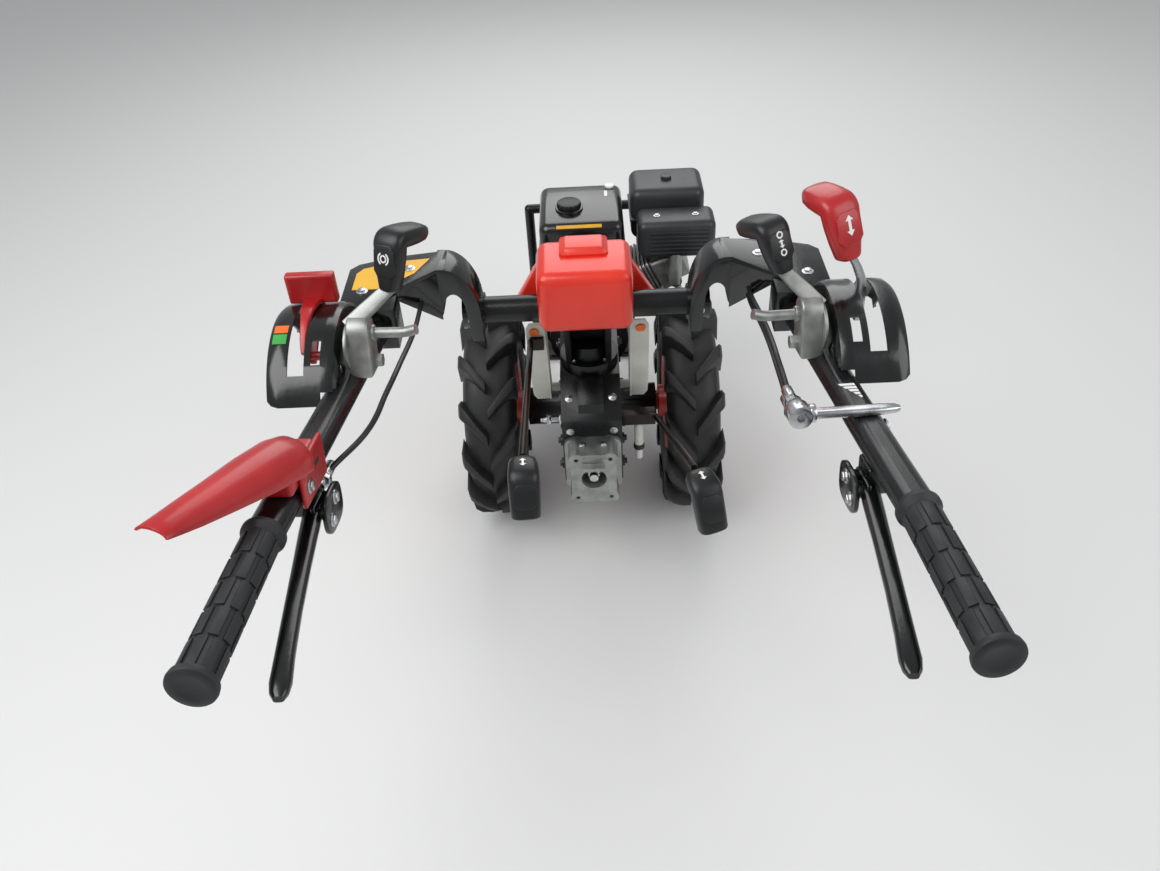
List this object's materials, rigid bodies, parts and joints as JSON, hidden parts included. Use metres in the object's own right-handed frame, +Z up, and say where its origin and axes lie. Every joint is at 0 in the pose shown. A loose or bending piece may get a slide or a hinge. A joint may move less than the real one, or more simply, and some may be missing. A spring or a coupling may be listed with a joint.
{
  "type": "two-wheel hand tractor",
  "caption": "Hand tractor with a front petrol engine, lugged tyres, red hood and splayed handlebars with levers",
  "frame": {"origin": "on the ground, under the middle of the overall box", "axes": "+X to the operator's right, +Y forward, +Z up"},
  "size_m": [0.9305, 1.9, 1.0712],
  "materials": {
    "black_paint": "gloss black enamel",
    "red_paint": "gloss red enamel",
    "black_casting": "black painted casting, semi-gloss",
    "cast_alloy": "bare sand-cast aluminium",
    "zinc_steel": "bright zinc plate",
    "tyre_rubber": "matte",
    "grip_rubber": "matte",
    "black_plastic": "moulded, satin",
    "red_plastic": "moulded, gloss",
    "grey_plastic": "moulded, matte",
    "grey_plate": "pale grey paint"
  },
  "bodies": {
    "chassis": {"gearbox": "black_casting", "pto_housing": "cast_alloy", "pto_shaft": "zinc_steel", "bell_housing": "black_casting", "engine_block": "cast_alloy", "cylinder_head": "cast_alloy", "carburettor": "cast_alloy", "air_cleaner": "grey_plastic", "muffler": "grey_plastic", "fan_shroud": "red_plastic", "recoil_starter": "black_plastic", "fuel_tank": "black_plastic", "tank_cap": "black_plastic", "engine_frame": "black_paint", "bumper": "black_paint", "side_plates": "grey_plate", "gear_rod": "zinc_steel", "gear_knob": "black_plastic", "pto_rod": "zinc_steel", "pto_knob": "black_plastic"},
    "wheel_left": {"tyre_left": "tyre_rubber", "rim_left": "red_paint"},
    "wheel_right": {"tyre_right": "tyre_rubber", "rim_right": "red_paint"},
    "stand": {"stand": "black_paint"},
    "column": {"column": "black_casting", "hood": "red_plastic"},
    "handlebar": {"crossbar": "black_paint", "shoulder_left": "black_casting", "shoulder_right": "black_casting", "handle_left": "black_paint", "handle_right": "black_paint", "grip_left": "grip_rubber", "grip_right": "grip_rubber", "guard_left": "black_plastic", "guard_right": "black_plastic", "clutch_lever": "red_plastic", "brake_lever": "black_plastic", "brake_block": "cast_alloy", "shift_knob": "red_plastic", "throttle_knob": "black_plastic", "shift_block": "cast_alloy", "throttle_clamp": "zinc_steel", "hand_lever_left": "black_plastic", "hand_lever_right": "black_plastic", "red_lever": "red_plastic", "cable_left": "black_plastic", "cable_right": "black_plastic"}
  },
  "joints": [
    {"name": "wheel_left_turn", "type": "hinge", "parent": "chassis", "child": "wheel_left", "pos_m": [-0.2245, 0.35, 0.2525], "axis": [1, 0, 0], "continuous": true},
    {"name": "wheel_right_turn", "type": "hinge", "parent": "chassis", "child": "wheel_right", "pos_m": [0.2245, 0.35, 0.2525], "axis": [1, 0, 0], "continuous": true},
    {"name": "stand_fold", "type": "hinge", "parent": "chassis", "child": "stand", "pos_m": [0, 0.855, 0.236], "axis": [-1, 0, 0], "range_deg": [0, 85]},
    {"name": "column_swivel", "type": "hinge", "parent": "chassis", "child": "column", "pos_m": [0, 0.195, 0.5], "axis": [0, 0, 1], "range_deg": [-15, 15]},
    {"name": "handlebar_tilt", "type": "hinge", "parent": "column", "child": "handlebar", "pos_m": [0, 0.05, 0.72], "axis": [1, 0, 0], "range_deg": [-12, 10]}
  ]
}
